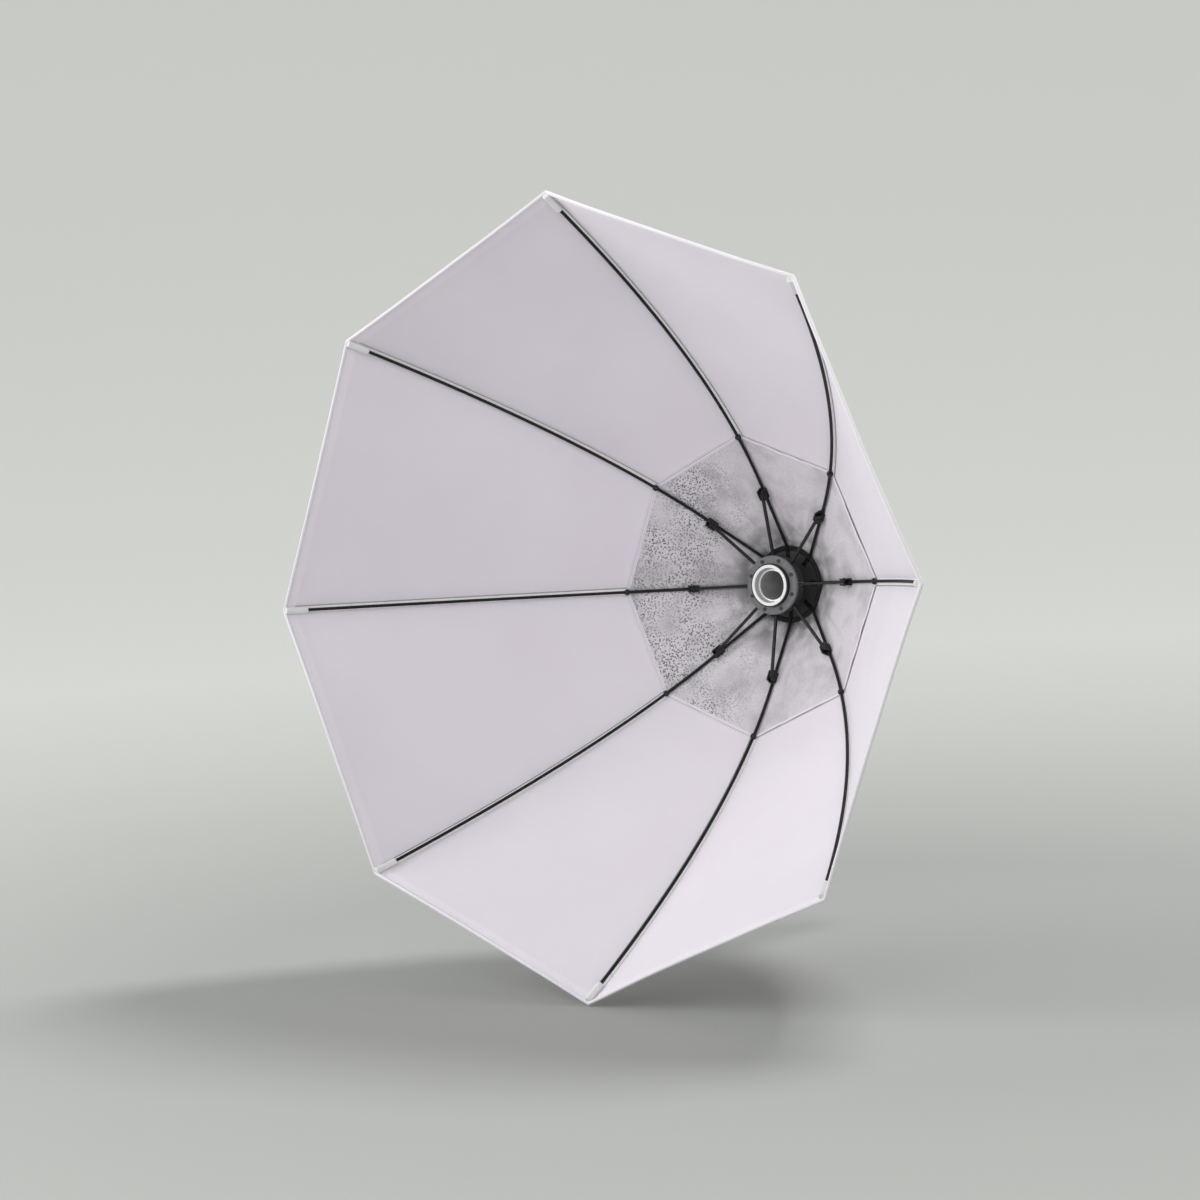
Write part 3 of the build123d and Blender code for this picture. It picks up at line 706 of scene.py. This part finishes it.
def make_canopy_half(gore, letter, sign, sides, body):
    """The bands of half a gore, with the hem and piping on the outermost."""
    for band, (u0, u1) in enumerate(zip(BANDS, BANDS[1:]), 1):
        cloth = Cloth()
        add_cloth(
            cloth, gore, rows_for(u0, u1), sides, CANOPY_DEPTH, CANOPY_THICKNESS, canopy_shape
        )
        piece = cloth.piece(f"canopy_{gore}{letter}_{band}", CANOPY_INSIDE, body)
        fold(piece, gore, sign, u0, u1, CANOPY_DEPTH, u0)
        if band == 1 and letter == "a":
            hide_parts(f"gore_{gore}")
        on_piece = []
        if u1 == 1.0:
            hem_cloth, piping_cloth = Cloth(), Cloth()
            add_hem(
                hem_cloth, piping_cloth, gore, sides, 1.0, CANOPY_DEPTH, canopy_shape,
                PIPING_RADIUS, HEM_SHARE, HEM_LIFT,
            )
            on_piece = [
                hem_cloth.piece(f"canopy_hem_{gore}{letter}", CANOPY_HEM, body),
                piping_cloth.piece(f"canopy_piping_{gore}{letter}", CANOPY_HEM, body),
            ]
            for hem in on_piece:
                fold(hem, gore, sign, u0, u1, CANOPY_DEPTH, u0)
        declare_sheet(gore, sign, u0, u1, CANOPY_DEPTH)


def make_lining_half(gore, letter, sign, sides, body):
    """Half a panel of the lining, with its hem."""
    cloth = Cloth()
    add_cloth(
        cloth, gore, rows_for(0, LINING_END, 0.006), sides,
        LINING_DEPTH, LINING_THICKNESS, lining_shape,
    )
    lining = cloth.piece(f"inner_lining_{gore}{letter}", LINING_MESH, body)
    fold(lining, gore, sign, 0, LINING_END, LINING_DEPTH, LINING_END)
    if letter == "a":
        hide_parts(f"lining_{gore}")
    hem_cloth = Cloth()
    add_hem(
        hem_cloth, hem_cloth, gore, sides, LINING_END, LINING_DEPTH, lining_shape,
        LINING_PIPING_RADIUS, LINING_HEM_SHARE, LINING_HEM_LIFT,
    )
    hem = hem_cloth.piece(f"lining_hem_{gore}{letter}", CANOPY_HEM, body)
    fold(hem, gore, sign, 0, LINING_END, LINING_DEPTH, LINING_END)
    declare_sheet(gore, sign, 0, LINING_END, LINING_DEPTH)


for gore in range(1, RIBS + 1):
    for letter, (sign, sides) in HALVES.items():
        body = f"rib_{rib_of(gore, sign)}"
        make_canopy_half(gore, letter, sign, sides, body)
        make_lining_half(gore, letter, sign, sides, body)


def seam_piece(rib):
    """The seam behind one rib: its allowance lies to one side, with an overlocked edge whose grey
    thread also stands for the rib's shadow line on the cloth, painted shade.
    """
    cloth = Cloth()
    before = (rib - 2) % RIBS + 1
    u = rows_for(LINING_END, 0.985, 0.01)
    for gore, sign, width in ((rib, -1, SEAM_NARROW), (before, 1, SEAM_ALLOWANCE)):
        sides = rib_side_strip(sign, width)
        front = add_cloth(
            cloth, gore, u, sides, CANOPY_DEPTH, SEAM_LIFT, canopy_shape, -SEAM_LIFT
        )
        normal = grid_normals(front)
        line = front[:, 1]
        runs = np.concatenate(([0], np.cumsum(np.linalg.norm(np.diff(line, axis=0), axis=1))))
        for at in np.arange(STITCH_STEP, runs[-1], STITCH_STEP):
            low = min(int(np.searchsorted(runs, at)) - 1, len(line) - 2)
            step = line[low + 1] - line[low]
            share = (at - runs[low]) / (runs[low + 1] - runs[low])
            cloth.add_stitch(line[low] + step * share, step, normal[low, 1])
        if width == SEAM_ALLOWANCE:
            edge = front[:, 0]
            outward = np.cross(normal[:, 0], np.gradient(edge, axis=0))
            frames = [(n, unit(o)) for n, o in zip(normal[:, 0], outward)]
            # Painted shade: this grey thread also stands for the rib's shadow line on the cloth
            overlock_shadow_line = Cloth()
            add_tube(overlock_shadow_line, edge, frames, OVERLOCK_SHADOW_LINE_RADIUS)
            piece = overlock_shadow_line.piece(f"seam_overlock_shadow_line_{rib}", OVERLOCK_SHADOW_THREAD, f"rib_{rib}")
    piece = cloth.piece(f"seam_{rib}", SEAM_WHITE_PAINTED_LIGHT, f"rib_{rib}")


for rib in range(1, RIBS + 1):
    seam_piece(rib)


# ---------------------------------------------------------------- small hard pieces

def rib_point(u):
    """A point of the rib's own line and its outward direction, in the side view."""
    point = along_profile([u], 0)[0][0] / (cos(HALF_STEP), 1)
    ahead = along_profile([u + 0.002], 0)[0][0] / (cos(HALF_STEP), 1)
    return point, unit(ahead - point)


def rib_frame(rib, point, direction):
    """Matrix whose x runs along the rib, y rearward of it and z across it."""
    azimuth = radians(90) + STEP * (rib - 1)
    out = np.array((cos(azimuth), 0, sin(azimuth)))
    rear = np.array((0, 1, 0))
    along = out * direction[0] + rear * direction[1]
    behind = -out * direction[1] + rear * direction[0]
    across = np.cross(along, behind)
    place = out * point[0] + rear * point[1]
    rows = np.stack((along, behind, across, place), 1)
    return Matrix([list(row) for row in rows] + [[0, 0, 0, 1]])


def lathe(outline, segments=20):
    """A solid turned about x from (x, radius) points, as a bmesh."""
    shape = bmesh.new()
    rings = []
    for x, radius in outline:
        angles = [2 * pi * k / segments for k in range(segments)]
        rings.append([shape.verts.new((x, radius * cos(a), radius * sin(a))) for a in angles])
    for ring, after in zip(rings, rings[1:]):
        for k in range(segments):
            ahead = (k + 1) % segments
            shape.faces.new((ring[k], ring[ahead], after[ahead], after[k]))
    shape.faces.new(rings[0][::-1])
    shape.faces.new(rings[-1])
    return shape


def hard_piece(name, shape, matrix, material, body):
    mesh = bpy.data.meshes.new(name)
    bmesh.ops.recalc_face_normals(shape, faces=shape.faces)
    shape.transform(matrix)
    shape.to_mesh(mesh)
    shape.free()
    for polygon in mesh.polygons:
        polygon.use_smooth = True
    mesh.set_sharp_from_angle(angle=radians(40))
    mesh.materials.append(material)
    piece = bpy.data.objects.new(name, mesh)
    bpy.context.scene.collection.objects.link(piece)
    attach(piece, body)
    return piece


TIE_OUTLINE = (
    (-0.0024, 0.0016), (-0.0021, 0.0024), (-0.0012, 0.0029), (0.0, 0.0031),
    (0.0012, 0.0029), (0.0021, 0.0024), (0.0024, 0.0016),
)

for rib in range(1, RIBS + 1):
    tie = lathe(TIE_OUTLINE)
    hard_piece(
        f"lining_tie_{rib}", tie, rib_frame(rib, *rib_point(LINING_END)),
        BLACK_PLASTIC, f"rib_{rib}",
    )


# The binding's outline, as (distance outward along the cloth, height in front of it)
BINDING_OUTLINE = (
    (0.0, 0.0003), (0.0012, 0.0007), (0.0055, 0.0007), (0.0068, 0.0002),
    (0.0068, -0.0002), (0.0012, -0.0022), (0.0, -0.0022),
)
BINDING_GAP = 0.0001
BINDING_LIFT = 0.0006


def crown_binding():
    """The black tape that binds the hole in the middle of both cloths, on the crown."""
    crown_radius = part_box("crown")[1][0]
    start, rearward = along_profile([0.0], LINING_DEPTH)
    start, rearward = start[0], rearward[0]
    outward = np.array((rearward[1], -rearward[0]))
    origin = start + outward * ((crown_radius + BINDING_GAP - start[0]) / outward[0])
    shape = bmesh.new()
    segments = 64
    rings = []
    for run, proud in BINDING_OUTLINE:
        point = origin + outward * run - rearward * (proud + BINDING_LIFT)
        rings.append([
            shape.verts.new((point[0] * cos(a), point[1], point[0] * sin(a)))
            for a in (2 * pi * k / segments for k in range(segments))
        ])
    for ring, after in zip(rings, rings[1:] + rings[:1]):
        for k in range(segments):
            ahead = (k + 1) % segments
            shape.faces.new((ring[k], ring[ahead], after[ahead], after[k]))
    hard_piece(
        "crown_binding", shape, Matrix.Identity(4), BLACK_TAPE, "crown"
    )


crown_binding()


# ---------------------------------------------------------------- stage, lights, camera

FLOOR_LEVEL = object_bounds()[0].z - 0.001
STAGE_FLAT = 2.0
STAGE_BEND = 4.4
STAGE_TOP = 6.5


def make_stage():
    """A round floor whose edge bends up into a wall, the same from every side, with painted shade
    darkening it near the middle and a painted glow lighting it towards the far wall.
    """
    outline = [(radius, 0.0) for radius in (0.0, 0.5, 1.0, 1.5, STAGE_FLAT)]
    for k in range(1, 17):
        turn = k / 16 * pi / 2
        outline.append((STAGE_FLAT + STAGE_BEND * sin(turn), STAGE_BEND * (1 - cos(turn))))
    outline.append((STAGE_FLAT + STAGE_BEND, STAGE_TOP))
    shape = bmesh.new()
    segments = 96
    rings = []
    for radius, height in outline[1:]:
        angles = [2 * pi * k / segments for k in range(segments)]
        rings.append([
            shape.verts.new((radius * cos(a), radius * sin(a), FLOOR_LEVEL + height))
            for a in angles
        ])
    centre = shape.verts.new((0, 0, FLOOR_LEVEL))
    for k in range(segments):
        shape.faces.new((centre, rings[0][k], rings[0][(k + 1) % segments]))
    for ring, after in zip(rings, rings[1:]):
        for k in range(segments):
            ahead = (k + 1) % segments
            shape.faces.new((ring[k], after[k], after[ahead], ring[ahead]))
    mesh = bpy.data.meshes.new("stage")
    shape.to_mesh(mesh)
    shape.free()
    for polygon in mesh.polygons:
        polygon.use_smooth = True
    material, tree, shader = new_material("stage_paper", roughness=0.95, specular=0.1)
    place = place_of(tree)
    # Painted shade and light: darker and barely glowing near the middle, lighter and glowing on the
    # far floor and wall
    away = ramp(tree, distance_from_origin(tree, place), 0.7, 3.2)
    base = mix(tree, away, (0.35, 0.355, 0.345), (0.58, 0.59, 0.565))
    tree.links.new(base, shader.inputs["Base Color"])
    painted_glow = mix(tree, away, (0.035, 0.036, 0.035), (0.25, 0.255, 0.245))
    tree.links.new(painted_glow, shader.inputs["Emission Color"])
    shader.inputs["Emission Strength"].default_value = 1.0
    mesh.materials.append(material)
    stage = bpy.data.objects.new("stage", mesh)
    bpy.context.scene.collection.objects.link(stage)


def area_light(name, place, target, size, power, colour=(1, 1, 1)):
    data = bpy.data.lights.new(name, "AREA")
    data.shape = "DISK"
    data.size = size
    data.energy = power
    data.color = colour
    light = bpy.data.objects.new(name, data)
    light.location = place
    light.rotation_euler = (Vector(target) - Vector(place)).to_track_quat("-Z", "Y").to_euler()
    bpy.context.scene.collection.objects.link(light)


make_stage()
area_light("overhead", (0.6, 0.6, 2.5), (0, -0.15, 0), 0.8, 50)
area_light("front_left", (-2.0, -1.9, 0.9), (0, -0.1, 0), 2.0, 38)
area_light("front", (0.9, -2.6, 1.3), (0, -0.1, 0), 1.6, 13)

world = bpy.data.worlds.new("soft_room")
world.use_nodes = True
world.node_tree.nodes["Background"].inputs["Color"].default_value = (0.97, 0.98, 1.0, 1)
world.node_tree.nodes["Background"].inputs["Strength"].default_value = 0.42
bpy.context.scene.world = world
bpy.context.scene.view_settings.view_transform = "Standard"

camera_data = bpy.data.cameras.new("photo_camera")
camera_data.lens = CAMERA_LENS
camera_data.sensor_width = 36
camera = bpy.data.objects.new("photo_camera", camera_data)
camera.location = CAMERA_PLACE
camera.rotation_euler = [radians(angle) for angle in CAMERA_TURN]
bpy.context.scene.collection.objects.link(camera)
bpy.context.scene.camera = camera

bpy.context.view_layer.update()
